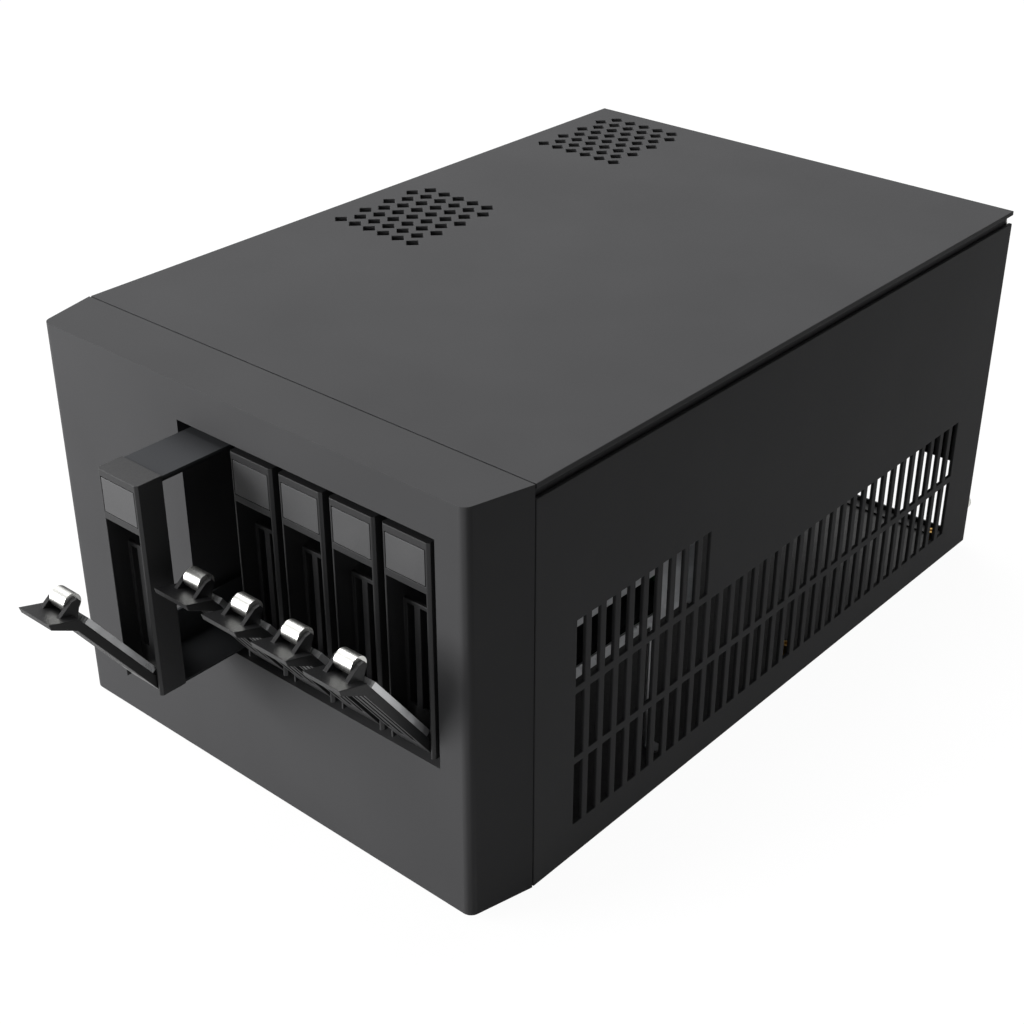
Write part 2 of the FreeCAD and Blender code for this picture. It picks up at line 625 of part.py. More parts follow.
def tray_guide(base_z, up):
    """Moulded comb whose fins keep the trays apart, drawn across the bays."""
    run_z = base_z + up * GUIDE_BASE
    fin_z = run_z + up * GUIDE_FIN
    section = [(BAY_CENTRE_X + GUIDE_HALF, base_z), (BAY_CENTRE_X - GUIDE_HALF, base_z)]
    half_run = CADDY_WIDTH / 2 + GUIDE_SIDE_GAP
    section.append((BAY_CENTRE_X - GUIDE_HALF, fin_z))
    for number in range(1, BAY_COUNT + 1):
        x = bay_x(number)
        section += [(x - half_run, fin_z), (x - half_run, run_z), (x + half_run, run_z),
                    (x + half_run, fin_z)]
    section.append((BAY_CENTRE_X + GUIDE_HALF, fin_z))
    points = [Vector(x, WALL_BACK_Y, z) for x, z in section]
    return prism(points, Vector(0, BACKPLANE_Y - WALL_BACK_Y, 0))


def backplane():
    half = GUIDE_HALF + CAGE_SHEET
    board = block(BAY_CENTRE_X - half, BAY_CENTRE_X + half, BACKPLANE_Y, BACKPLANE_Y + BOARD_THICKNESS,
                  CAGE_FLOOR_TOP - CAGE_SHEET, CAGE_ROOF_BOTTOM + CAGE_SHEET)
    middle = (TRAY_BOTTOM + TRAY_TOP) / 2
    cutters = []
    for number in range(1, BAY_COUNT):
        x = bay_x(number) + BAY_PITCH / 2
        cutters.append(block(x - BACKPLANE_SLOT_WIDTH / 2, x + BACKPLANE_SLOT_WIDTH / 2, BACKPLANE_Y - CUT,
                             BACKPLANE_Y + BOARD_THICKNESS + CUT, middle - BACKPLANE_SLOT_HEIGHT / 2,
                             middle + BACKPLANE_SLOT_HEIGHT / 2))
    return board.cut(holes(cutters))


def drive_sockets():
    solids = []
    middle = (TRAY_BOTTOM + TRAY_TOP) / 2
    front = BACKPLANE_Y - SOCKET_DEPTH
    for number in range(1, BAY_COUNT + 1):
        x = bay_x(number)
        body = block(x - SOCKET_WIDTH / 2, x + SOCKET_WIDTH / 2, front, BACKPLANE_Y,
                     middle - SOCKET_HEIGHT / 2, middle + SOCKET_HEIGHT / 2)
        slot = block(x - SOCKET_SLOT / 2, x + SOCKET_SLOT / 2, front - CUT, front + SOCKET_SLOT_DEPTH,
                     middle - SOCKET_HEIGHT / 2 + SOCKET_SLOT, middle + SOCKET_HEIGHT / 2 - SOCKET_SLOT)
        solids.append(body.cut(slot))
    return holes(solids)


def fan_frame():
    """Square fan housing with a round bore, and struts that carry the bearing boss."""
    half = FAN_SIZE / 2
    housing = block(FAN_X - half, FAN_X + half, FAN_FRONT_Y, REAR_INNER_Y,
                    FAN_CENTRE_Z - half, FAN_CENTRE_Z + half)
    bore_start = Vector(FAN_X, FAN_FRONT_Y - CUT, FAN_CENTRE_Z)
    frame = housing.cut(rod(FAN_BORE_RADIUS, bore_start, Y_AXIS, FAN_DEPTH + 2 * CUT))
    boss_y = REAR_INNER_Y - FAN_BOSS_LENGTH
    middle = Vector(FAN_X, boss_y, FAN_CENTRE_Z)
    boss = rod(FAN_HUB_RADIUS, middle, Y_AXIS, FAN_BOSS_LENGTH)
    for number in range(FAN_STRUT_COUNT):
        strut = block(FAN_X + FAN_HUB_RADIUS / 2, FAN_X + FAN_BORE_RADIUS + FAN_STRUT_SINK,
                      boss_y, REAR_INNER_Y,
                      FAN_CENTRE_Z - FAN_STRUT_WIDTH / 2, FAN_CENTRE_Z + FAN_STRUT_WIDTH / 2)
        strut.rotate(middle, Y_AXIS, 360 / FAN_STRUT_COUNT * number + FAN_STRUT_TURN)
        boss = boss.fuse(strut)
    shaft_hole = rod(FAN_SHAFT_RADIUS + FAN_SHAFT_FIT, middle - Y_AXIS * CUT, Y_AXIS,
                     FAN_BOSS_LENGTH + 2 * CUT)
    return frame.fuse(boss).cut(shaft_hole).removeSplitter()


def blade_section(radius, pitch):
    """Thin outline across one blade, square to the blade's length."""
    half = FAN_BLADE_CHORD / 2
    thick = FAN_BLADE_THICKNESS / 2
    turn = math.radians(pitch)
    points = []
    for along, across in ((-half, -thick), (half, -thick), (half, thick), (-half, thick)):
        y = along * math.sin(turn) + across * math.cos(turn)
        z = along * math.cos(turn) - across * math.sin(turn)
        points.append(Vector(radius, y, z))
    return points


def fan_rotor():
    """Hub, twisted blades and shaft."""
    hub_y = REAR_INNER_Y - FAN_BOSS_LENGTH - FAN_RUNNING_GAP - FAN_HUB_LENGTH
    start = Vector(FAN_X, hub_y, FAN_CENTRE_Z)
    hub = rod(FAN_HUB_RADIUS, start, Y_AXIS, FAN_HUB_LENGTH)
    tip = FAN_BORE_RADIUS - FAN_TIP_GAP
    blade = faceted(blade_section(FAN_HUB_RADIUS - FAN_BLADE_ROOT_SINK, FAN_BLADE_ROOT_PITCH),
                    blade_section(tip, FAN_BLADE_TIP_PITCH))
    blade.translate(start + Y_AXIS * (FAN_HUB_LENGTH / 2))
    blades = []
    for number in range(FAN_BLADE_COUNT):
        copy = blade.copy()
        copy.rotate(start, Y_AXIS, 360 / FAN_BLADE_COUNT * number)
        blades.append(copy)
    shaft = rod(FAN_SHAFT_RADIUS, start + Y_AXIS * (FAN_HUB_LENGTH - CUT), Y_AXIS,
                CUT + FAN_RUNNING_GAP + FAN_BOSS_LENGTH - FIT_GAP)
    return hub.fuse(blades + [shaft]).removeSplitter()


def tray_bezel(x):
    """Moulded tray front: lever pocket with a slotted floor and a hinge pin, and the pad's chamber."""
    half = TRAY_WIDTH / 2
    bevelled = half - TRAY_FRONT_BEVEL
    outline = [(-bevelled, 0), (bevelled, 0), (half, TRAY_FRONT_BEVEL), (half, TRAY_FRONT_DEPTH),
               (-half, TRAY_FRONT_DEPTH), (-half, TRAY_FRONT_BEVEL)]
    front = prism([Vector(x + dx, y, TRAY_BOTTOM) for dx, y in outline], Vector(0, 0, TRAY_HEIGHT))
    left = x - POCKET_HALF
    right = x + POCKET_HALF
    floor_back = POCKET_DEPTH + POCKET_FLOOR
    pad_low = POCKET_TOP + TRAY_WALL
    pad_high = TRAY_TOP - TRAY_WALL
    cutters = [block(left, right, -CUT, POCKET_DEPTH, TRAY_BOTTOM - CUT, POCKET_TOP),
               block(left, right, floor_back, TRAY_FRONT_DEPTH + CUT, TRAY_BOTTOM + TRAY_WALL, POCKET_TOP),
               block(left, right, -CUT, TRAY_FRONT_DEPTH + CUT, pad_low, pad_high)]
    roller_z = HINGE_Z + ROLLER_FROM_HINGE
    window = ROLLER_RADIUS + 2 * FIT_GAP
    cutters.append(block(left, right, POCKET_DEPTH - CUT, floor_back + CUT,
                         roller_z - window, roller_z + window))
    spacing = 2 * POCKET_HALF / POCKET_SLOT_COUNT
    slot_low = HINGE_Z + STRIP_FROM
    slot_high = roller_z - window - TRAY_WALL
    for number in range(POCKET_SLOT_COUNT):
        middle = left + spacing * (number + 0.5)
        cutters.append(block(middle - POCKET_SLOT_WIDTH / 2, middle + POCKET_SLOT_WIDTH / 2,
                             POCKET_DEPTH - CUT, floor_back + CUT, slot_low, slot_high))
    front = front.cut(holes(cutters))
    pin_start = Vector(left - TRAY_WALL / 2, LEVER_HINGE_Y, HINGE_Z)
    added = [rod(HINGE_PIN_RADIUS, pin_start, X_AXIS, 2 * POCKET_HALF + TRAY_WALL)]
    ledge = PAD_DEPTH - PAD_LIP - FIT_GAP
    for low, high in ((pad_low, pad_low + PAD_LIP), (pad_high - PAD_LIP, pad_high)):
        added.append(block(left, right, 0, ledge, low, high))
    return front.fuse(added).removeSplitter()


def tray_button(x):
    """Square release pad with a lip above and below, drawn from the side."""
    half = POCKET_HALF - FIT_GAP
    low = POCKET_TOP + TRAY_WALL + FIT_GAP
    high = TRAY_TOP - TRAY_WALL - FIT_GAP
    lip = PAD_DEPTH - PAD_LIP
    outline = [(0, low + PAD_LIP), (lip, low + PAD_LIP), (lip, low), (PAD_DEPTH, low),
               (PAD_DEPTH, high), (lip, high), (lip, high - PAD_LIP), (0, high - PAD_LIP)]
    return prism([Vector(x - half, y, z) for y, z in outline], Vector(2 * half, 0, 0))


def tray_caddy(x):
    """Folded drive carrier, open to the right: a base plate with two round screw holes below and two
    slots above, which take up the drive's tolerance, and a rail along its top and bottom."""
    half = CADDY_WIDTH / 2
    end = CADDY_START + CADDY_LENGTH
    section = [(x - half, CADDY_BOTTOM), (x + half, CADDY_BOTTOM), (x + half, CADDY_BOTTOM + CADDY_SHEET),
               (x - half + CADDY_SHEET, CADDY_BOTTOM + CADDY_SHEET),
               (x - half + CADDY_SHEET, CADDY_TOP - CADDY_SHEET),
               (x + half, CADDY_TOP - CADDY_SHEET), (x + half, CADDY_TOP), (x - half, CADDY_TOP)]
    channel = prism([Vector(px, CADDY_START, pz) for px, pz in section], Vector(0, CADDY_LENGTH, 0))
    middle = (CADDY_BOTTOM + CADDY_TOP) / 2
    hole_back = DRIVE_START + DRIVE_LENGTH - DRIVE_HOLE_FROM_SOCKET
    cutters = []
    slot_z = middle + DRIVE_HOLE_SPACING_Z / 2
    for y in (hole_back, hole_back - DRIVE_HOLE_SPACING_Y):
        start = Vector(x - half - CUT, y, middle - DRIVE_HOLE_SPACING_Z / 2)
        cutters.append(rod(DRIVE_HOLE_RADIUS, start, X_AXIS, CADDY_SHEET + 2 * CUT))
        cutters.append(block(x - half - CUT, x - half + CADDY_SHEET + CUT, y - DRIVE_HOLE_RADIUS,
                             y + DRIVE_HOLE_RADIUS, slot_z - DRIVE_SLOT_HALF, slot_z + DRIVE_SLOT_HALF))
    window_front = CADDY_START + CADDY_TAB
    cutters.append(block(x - half - CUT, x - half + CADDY_SHEET + CUT, window_front, end - CADDY_TAB,
                         middle - DRIVE_HOLE_SPACING_Z / 2 + CADDY_TAB,
                         middle + DRIVE_HOLE_SPACING_Z / 2 - CADDY_TAB))
    return channel.cut(holes(cutters))


def lever_point(x, along, inward):
    """Point on the upright lever: distance from its hinge, and depth behind the hinge line."""
    return Vector(x, LEVER_HINGE_Y + inward, HINGE_Z + along)


def swung(shape):
    """Turn a lever piece from upright to its open stop."""
    shape.rotate(lever_point(0, 0, 0), X_AXIS, LEVER_OPEN_ANGLE)
    return shape


def tray_lever(x):
    """Moulded lever: eight-sided hinge knuckle, grooved plate, flared tip, and a fork for the roller."""
    outer = -LEVER_BARREL_RADIUS
    inner = LEVER_INNER_FACE
    flare_start = LEVER_LENGTH - LEVER_FLARE_LENGTH
    reach = LEVER_BARREL_RADIUS
    flat = reach * math.tan(math.pi / 8)
    outline = [(-flat, outer), (flare_start, outer),
               (LEVER_LENGTH - LEVER_TIP_BEVEL, outer - LEVER_TIP_FLARE),
               (LEVER_LENGTH, outer - LEVER_TIP_FLARE + LEVER_TIP_BEVEL / 3),
               (flare_start + LEVER_TIP_BEVEL, inner), (reach, inner), (flat, reach), (-flat, reach),
               (-reach, flat), (-reach, -flat)]
    plate = prism([lever_point(x - LEVER_HALF, along, inward) for along, inward in outline],
                  Vector(2 * LEVER_HALF, 0, 0))
    lug_top = ROLLER_STAND_OFF + ROLLER_LUG_REACH
    lug_outline = [(ROLLER_FROM_HINGE - ROLLER_LUG_REACH, ROLLER_STAND_OFF),
                   (STRIP_TO + FIT_GAP, inner - ROLLER_LUG_SINK),
                   (ROLLER_FROM_HINGE + ROLLER_LUG_REACH, outer - ROLLER_LUG_SINK),
                   (ROLLER_FROM_HINGE + ROLLER_LUG_REACH, ROLLER_STAND_OFF),
                   (ROLLER_FROM_HINGE + ROLLER_LUG_REACH / 2, lug_top),
                   (ROLLER_FROM_HINGE - ROLLER_LUG_REACH / 2, lug_top)]
    lugs = []
    for lug_x in (x - ROLLER_WIDTH / 2 - ROLLER_LUG_THICKNESS, x + ROLLER_WIDTH / 2):
        lugs.append(prism([lever_point(lug_x, along, inward) for along, inward in lug_outline],
                          Vector(ROLLER_LUG_THICKNESS, 0, 0)))
    lever = plate.fuse(lugs)
    cutters = [rod(HINGE_PIN_RADIUS + HINGE_PIN_FIT, lever_point(x - LEVER_HALF - CUT, 0, 0), X_AXIS,
                   2 * (LEVER_HALF + CUT))]
    spacing = 2 * LEVER_HALF / LEVER_GROOVE_COUNT
    for number in range(LEVER_GROOVE_COUNT):
        middle = -LEVER_HALF + spacing * (number + 0.5)
        low = lever_point(x + middle - LEVER_GROOVE_WIDTH / 2, STRIP_FROM, outer - CUT)
        cutters.append(Part.makeBox(LEVER_GROOVE_WIDTH, LEVER_GROOVE_DEPTH + CUT, STRIP_TO - STRIP_FROM, low))
    return swung(lever.cut(holes(cutters)).removeSplitter())


def tray_strip(x):
    """Bright inlay over the lever's inner side."""
    low = lever_point(x - LEVER_HALF, STRIP_FROM, LEVER_INNER_FACE)
    return swung(Part.makeBox(2 * LEVER_HALF, STRIP_THICKNESS, STRIP_TO - STRIP_FROM, low))


def tray_roller(x):
    """Bright catch roller, held by its ends in the lever's fork."""
    start = lever_point(x - ROLLER_WIDTH / 2, ROLLER_FROM_HINGE, ROLLER_STAND_OFF)
    return swung(rod(ROLLER_RADIUS, start, X_AXIS, ROLLER_WIDTH))


def all_parts():
    parts = {
        "front_panel": front_panel(),
        "top_cover": top_cover(),
        "right_side_panel": side_panel(1, 0, SLOT_TALL_COLUMNS),
        "left_side_panel": side_panel(-1, SLOT_LEFT_SKIPPED_COLUMNS, 0),
        "bottom_panel": bottom_panel(),
        "front_wall": front_wall(),
        "rear_panel": rear_panel(),
        "rear_thumbscrews": rear_thumbscrews(),
        "cage_right_wall": cage_wall(1),
        "cage_left_wall": cage_wall(-1),
        "cage_floor": cage_plate(CAGE_FLOOR_TOP - CAGE_SHEET),
        "cage_roof": cage_plate(CAGE_ROOF_BOTTOM),
        "lower_guide": tray_guide(CAGE_FLOOR_TOP, 1),
        "upper_guide": tray_guide(CAGE_ROOF_BOTTOM, -1),
        "backplane": backplane(),
        "drive_sockets": drive_sockets(),
        "fan_frame": fan_frame(),
        "fan_rotor": fan_rotor(),
        "board_standoffs": board_standoffs(),
        "power_supply_ledge": power_supply_ledge(),
        "power_button": power_button(),
    }
    parts.update(feet())
    for number in range(CARD_SLOT_COUNT):
        parts["card_slot_cover_%d" % (number + 1)] = card_slot_cover(number)
    for number in range(1, BAY_COUNT + 1):
        x = bay_x(number)
        tray = {"bezel": tray_bezel(x), "caddy": tray_caddy(x), "button": tray_button(x),
                "lever": tray_lever(x), "strip": tray_strip(x), "roller": tray_roller(x)}
        for name, shape in tray.items():
            if number == PULLED_TRAY:
                shape.translate(Vector(0, -PULLED_OUT, 0))
            parts["tray_%d_%s" % (number, name)] = shape
    return parts


def main():
    os.makedirs("parts", exist_ok=True)
    parts = all_parts()
    boxes = [shape.optimalBoundingBox(False, False) for shape in parts.values()]
    middle = (min(box.YMin for box in boxes) + max(box.YMax for box in boxes)) / 2
    for name, shape in parts.items():
        shape.translate(Vector(0, -middle, 0))
        shape.exportStep("parts/%s.step" % name)
    print("origin is %.3f mm behind the front face" % middle)


main()
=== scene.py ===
"""Finishes, small fasteners and studio stage of a home server case with drive trays in its front."""
import math

import bmesh
import bpy
from bpy.props import FloatProperty, FloatVectorProperty, IntProperty, PointerProperty
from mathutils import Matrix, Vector


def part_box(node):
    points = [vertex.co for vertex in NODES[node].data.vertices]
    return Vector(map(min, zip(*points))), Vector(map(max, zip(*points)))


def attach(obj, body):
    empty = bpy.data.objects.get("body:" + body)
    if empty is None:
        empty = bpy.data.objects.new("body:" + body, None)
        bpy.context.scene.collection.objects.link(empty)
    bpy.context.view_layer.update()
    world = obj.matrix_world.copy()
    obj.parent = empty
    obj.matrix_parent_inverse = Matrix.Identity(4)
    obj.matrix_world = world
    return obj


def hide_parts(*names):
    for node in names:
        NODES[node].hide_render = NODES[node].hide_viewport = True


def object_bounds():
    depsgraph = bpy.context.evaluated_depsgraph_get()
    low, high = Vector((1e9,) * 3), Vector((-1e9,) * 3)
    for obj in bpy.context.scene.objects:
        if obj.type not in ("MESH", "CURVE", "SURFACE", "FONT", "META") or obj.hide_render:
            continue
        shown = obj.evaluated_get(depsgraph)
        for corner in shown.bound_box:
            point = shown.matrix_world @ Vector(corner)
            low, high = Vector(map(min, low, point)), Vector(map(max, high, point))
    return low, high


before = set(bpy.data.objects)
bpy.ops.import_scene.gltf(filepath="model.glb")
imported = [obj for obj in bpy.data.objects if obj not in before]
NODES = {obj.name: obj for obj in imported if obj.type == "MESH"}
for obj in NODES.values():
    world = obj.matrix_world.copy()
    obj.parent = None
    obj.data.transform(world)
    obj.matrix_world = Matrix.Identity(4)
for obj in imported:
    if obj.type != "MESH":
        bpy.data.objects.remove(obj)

bl_info = {
    "name": "Home server case",
    "version": (1, 0, 0),
    "blender": (4, 5, 0),
    "location": "View3D > Sidebar > Server case",
    "description": "Dresses the case, its trays and its fasteners, and sets the studio stage",
    "category": "Object",
}

CAD_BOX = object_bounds()
MM = 0.001
TRAYS = range(1, 1 + sum(name.endswith("_bezel") for name in NODES))
FEET = sorted(name for name in NODES if name.startswith("foot_"))

# Corners of the frame's meshes that lie closer than this are one corner
MERGE_DISTANCE = 0.001 * MM
# Edges sharper than the first angle are softened, and shading breaks at edges sharper than the second
SOFT_EDGE_ANGLE = math.radians(40)
SMOOTH_ANGLE = math.radians(35)

# Rivet heads: how flat the dome is, how many stand in a row, and how far, in radii, a row keeps from the
# cage's floor or roof sheet
RIVET_FLATNESS = 0.45
RIVETS_PER_ROW = 5
RIVET_ROW_OFFSET = 1.5

# Turn of the slots in a thumbscrew's head, in degrees
THUMB_SLOT_TURNS = (20, 110)

# Stage in metres: the view is the photo's, and the lamps stand at the front left and overhead
CAMERA_PLACE = (0.5086, -0.5751, 0.5315)
CAMERA_DIRECTION = (-0.5667, 0.6517, -0.504)
SENSOR_MILLIMETRES = 36
FLOOR_WIDTH = 12
KEY_PLACE = (-0.9, -1.3, 0.45)
KEY_WIDTH = 0.9
TOP_PLACE = (-0.5, 0.2, 1.7)
TOP_WIDTH = 1.2


def srgb(code):
    """Linear colour of an sRGB hex value."""
    parts = [int(code[place:place + 2], 16) / 255 for place in (1, 3, 5)]
    return [part / 12.92 if part <= 0.04045 else ((part + 0.055) / 1.055) ** 2.4 for part in parts] + [1.0]


def colour_property(name, description, code):
    return FloatVectorProperty(name=name, description=description, default=srgb(code), size=4,
                               min=0, max=1, subtype="COLOR")


def length_property(name, description, millimetres):
    return FloatProperty(name=name, description=description, default=millimetres * MM, min=0,
                         precision=5, unit="LENGTH")


class CaseColours(bpy.types.PropertyGroup):
    """Colours of the finishes."""
    panel: colour_property("Outer panels", "Dyed oxide layer of the outer aluminium", "#49494A")
    chassis: colour_property("Chassis", "Powder coat on the inner steel", "#222223")
    cage: colour_property("Cage", "Zinc plate on the drive cage", "#C6C8CA")
    bezel: colour_property("Tray fronts", "Moulded tray fronts", "#262627")
    pad: colour_property("Release pads", "Moulded release pads", "#4B4B4C")
    lever: colour_property("Levers", "Moulded levers and combs", "#151516")
    caddy: colour_property("Drive carriers", "Anodised drive carriers", "#404143")
    strip: colour_property("Lever inlays", "Natural aluminium of the lever inlays", "#C2C3C4")
    nickel: colour_property("Nickel", "Plating of rollers and screws", "#DADAD6")
    brass: colour_property("Brass", "Turned standoffs", "#C8A25A")
    board: colour_property("Circuit board", "Solder mask of the backplane", "#1F4A2C")
    track: colour_property("Board tracks", "Solder mask over the copper tracks", "#2F6B40")
    rubber: colour_property("Rubber", "Moulded feet", "#1A1A1A")


class CaseSizes(bpy.types.PropertyGroup):
    """Sizes of the details that are modelled here."""
    panel_edge: length_property("Panel edge", "Softened edge of the outer panels", 0.5)
    moulded_edge: length_property("Moulded edge", "Softened edge of moulded pieces", 0.3)
    sheet_edge: length_property("Sheet edge", "Softened edge of folded sheet", 0.15)
    thumb_ridges: IntProperty(name="Thumbscrew ridges", description="Ridges round a thumbscrew's head",
                              default=22, min=8, max=60)
    knurl_depth: length_property("Knurl depth", "Depth of the grooves round a thumbscrew's head", 0.3)
    recess_width: length_property("Recess width", "Width of the cross recess in a screw head", 0.7)
    thumb_rim: length_property("Thumbscrew rim", "Rounded rim of a thumbscrew's head", 0.5)
    screw_head: length_property("Screw head", "Radius of a small screw's head", 2.6)
    screw_height: length_property("Screw head height", "Height of a small screw's head", 1.8)
    thumb_shank: length_property("Thumbscrew shank", "Radius of a thumbscrew's shank", 1.6)
    knurl_margin: length_property("Knurl margin", "Land left beside each groove of the knurl", 0.1)
    cover_screw_inset: length_property("Cover screw inset", "Cover screw from the rear wall's edge", 2.5)
    card_screw_inset: length_property("Card screw inset", "Card screw below its slot cover's top", 7.0)
    fan_head: length_property("Fan screw head", "Radius of a fan screw's head", 3.8)
    fan_hole_spacing: length_property("Fan screw spacing", "Distance between the fan's corner screws", 105)
    rivet_head: length_property("Rivet head", "Radius of a rivet's head on the cage", 1.9)
    rivet_inset: length_property("Rivet inset", "First and last rivet from the ends of the cage", 14)
    foot_recess: length_property("Foot recess", "Depth of the hollow under a foot", 2.0)
    foot_draft: length_property("Foot draft", "How far the hollow under a foot narrows", 0.3)
    foot_edge: length_property("Foot edge", "Rounded edge of a foot", 0.6)


class StageSettings(bpy.types.PropertyGroup):
    """Floor, light and camera."""
    floor: colour_property("Floor", "Plain pale floor", "#A8A8A8")
    key_power: FloatProperty(name="Key light", description="Power of the soft light at the front left",
                             default=32, min=0, unit="POWER")
    top_power: FloatProperty(name="Top light", description="Power of the soft light overhead",
                             default=26, min=0, unit="POWER")
    fill_left: FloatProperty(name="Surround, left", description="Strength of the even light from the left",
                             default=0.5, min=0)
    fill_right: FloatProperty(name="Surround, right",
                              description="Strength of the even light from the right",
                              default=0.03, min=0)
    floor_white: FloatProperty(name="Floor white", description="Share of plain white in the floor as seen",
                               default=0.8, min=0, max=1)
    floor_glow: FloatProperty(name="Floor glow", description="Strength of that white", default=1.2, min=0)
    lens: FloatProperty(name="Lens", description="Focal length in millimetres on a 36 mm sensor",
                        default=60.36, min=1)


def colours():
    return bpy.context.scene.case_colours


def sizes():
    return bpy.context.scene.case_sizes


def fill(tree, made, inputs):
    """Sets or links the inputs of a node, by name or number."""
    for key, value in inputs.items():
        if isinstance(value, bpy.types.NodeSocket):
            tree.links.new(value, made.inputs[key])
        else:
            made.inputs[key].default_value = value


def add(tree, kind, inputs, **settings):
    """Adds a node with its settings and links."""
    made = tree.nodes.new(kind)
    for key, value in settings.items():
        setattr(made, key, value)
    fill(tree, made, inputs)
    return made


def start_material(name):
    """New material with its tree, its shader and the place on the piece, in metres."""
    made = bpy.data.materials.new(name)
    made.use_nodes = True
    tree = made.node_tree
    where = add(tree, "ShaderNodeTexCoord", {}).outputs["Object"]
    return made, tree, tree.nodes["Principled BSDF"], where


def per_metre(millimetres):
    """Pattern scale for features of that size."""
    return 1 / (millimetres * MM)


def grain(tree, where, millimetres, detail=2.0):
    """Cloudy pattern with features of a real size."""
    return add(tree, "ShaderNodeTexNoise", {"Vector": where, "Scale": per_metre(millimetres),
                                            "Detail": detail}).outputs["Fac"]


def between(tree, value, low, high):
    """Spreads a pattern from its usual middle range over two values."""
    return add(tree, "ShaderNodeMapRange", {"Value": value, "From Min": 0.3, "From Max": 0.7,
                                            "To Min": low, "To Max": high}).outputs["Result"]


def shaded(tree, colour, value, low, high):
    """Colour that is darker and lighter by a pattern."""
    factor = between(tree, value, low, high)
    return add(tree, "ShaderNodeVectorMath", {0: colour[:3], "Scale": factor}, operation="SCALE").outputs[0]


def raised(tree, height, strength, millimetres):
    return add(tree, "ShaderNodeBump", {"Height": height, "Strength": strength,
                                        "Distance": millimetres * MM}).outputs["Normal"]


def blasted_anodised_aluminium(name, colour, roughness):
    """Bead-blasted, then dyed and sealed: a dull satin sheet with a fine tooth and slow shade changes."""
    made, tree, shader, where = start_material(name)
    # Real blasting pits are about 0.1 mm wide; they are drawn at 0.9 mm so that they show
    pits = grain(tree, where, 0.9, 3.0)
    handling = grain(tree, where, 60.0)
    fill(tree, shader, {"Base Color": shaded(tree, colour, handling, 0.96, 1.04), "Metallic": 0.05,
                        "Roughness": between(tree, pits, roughness - 0.04, roughness + 0.05),
                        "Specular IOR Level": 0.02, "Normal": raised(tree, pits, 0.12, 0.04)})
    return made


def powder_coated_steel(name, colour):
    """Baked powder: even dark paint with a fine orange-peel skin."""
    made, tree, shader, where = start_material(name)
    peel = grain(tree, where, 1.6, 1.0)
    fill(tree, shader, {"Base Color": shaded(tree, colour, grain(tree, where, 40.0), 0.9, 1.1),
                        "Roughness": between(tree, peel, 0.42, 0.52), "IOR": 1.5,
                        "Normal": raised(tree, peel, 0.2, 0.05)})
    return made


def zinc_plated_steel(name, colour):
    """Bright zinc on cold-rolled sheet: grey metal with faint spangle and a drawn grain along the sheet."""
    made, tree, shader, where = start_material(name)
    spangle = add(tree, "ShaderNodeTexVoronoi", {"Vector": where, "Scale": per_metre(5.0)}).outputs["Color"]
    spangle = add(tree, "ShaderNodeSeparateColor", {"Color": spangle}).outputs["Red"]
    drawn = add(tree, "ShaderNodeMapping", {"Vector": where, "Scale": (1, 0.05, 1)}).outputs["Vector"]
    lines = grain(tree, drawn, 0.8)
    fill(tree, shader, {"Base Color": shaded(tree, colour, spangle, 0.93, 1.04), "Metallic": 0.35,
                        "Roughness": between(tree, lines, 0.4, 0.55),
                        "Normal": raised(tree, lines, 0.08, 0.03)})
    return made


def moulded_plastic(name, colour, roughness, grain_size):
    """Injection-moulded ABS from a spark-eroded tool: matt skin with an even fine grain."""
    made, tree, shader, where = start_material(name)
    skin = grain(tree, where, grain_size, 1.0)
    flow = grain(tree, where, 25.0)
    fill(tree, shader, {"Base Color": shaded(tree, colour, flow, 0.94, 1.06), "IOR": 1.52,
                        "Roughness": between(tree, skin, roughness - 0.05, roughness + 0.06),
                        "Specular IOR Level": 0.25, "Normal": raised(tree, skin, 0.16, 0.05)})
    return made


def brushed_aluminium(name, colour):
    """Natural aluminium brushed along its length: bright satin with fine straight lines."""
    made, tree, shader, where = start_material(name)
    # Lines cross the lever, which stands in the plane of Y and Z; real ones are 0.05 mm apart
    across = add(tree, "ShaderNodeMapping", {"Vector": where, "Scale": (1, 0.04, 0.04)}).outputs["Vector"]
    lines = grain(tree, across, 0.5)
    fill(tree, shader, {"Base Color": shaded(tree, colour, lines, 0.9, 1.08), "Metallic": 1.0,
                        "Roughness": between(tree, lines, 0.26, 0.4), "Anisotropic": 0.4,
                        "Normal": raised(tree, lines, 0.08, 0.02)})
    return made


def plated_metal(name, colour, roughness):
    """Nickel plate or turned brass: bright metal with light tool marks and handling haze."""
    made, tree, shader, where = start_material(name)
    marks = grain(tree, where, 0.3, 1.0)
    haze = grain(tree, where, 4.0)
    fill(tree, shader, {"Base Color": shaded(tree, colour, haze, 0.94, 1.04), "Metallic": 1.0,
                        "Roughness": between(tree, marks, roughness - 0.04, roughness + 0.05),
                        "Normal": raised(tree, marks, 0.03, 0.01)})
    return made


def moulded_rubber(name, colour):
    """Compression-moulded rubber: dull black with dust-pale patches."""
    made, tree, shader, where = start_material(name)
    skin = grain(tree, where, 1.0)
    dust = grain(tree, where, 6.0)
    fill(tree, shader, {"Base Color": shaded(tree, colour, dust, 0.85, 1.25), "IOR": 1.52,
                        "Roughness": between(tree, skin, 0.78, 0.9), "Specular IOR Level": 0.3,
                        "Normal": raised(tree, skin, 0.2, 0.08)})
    return made


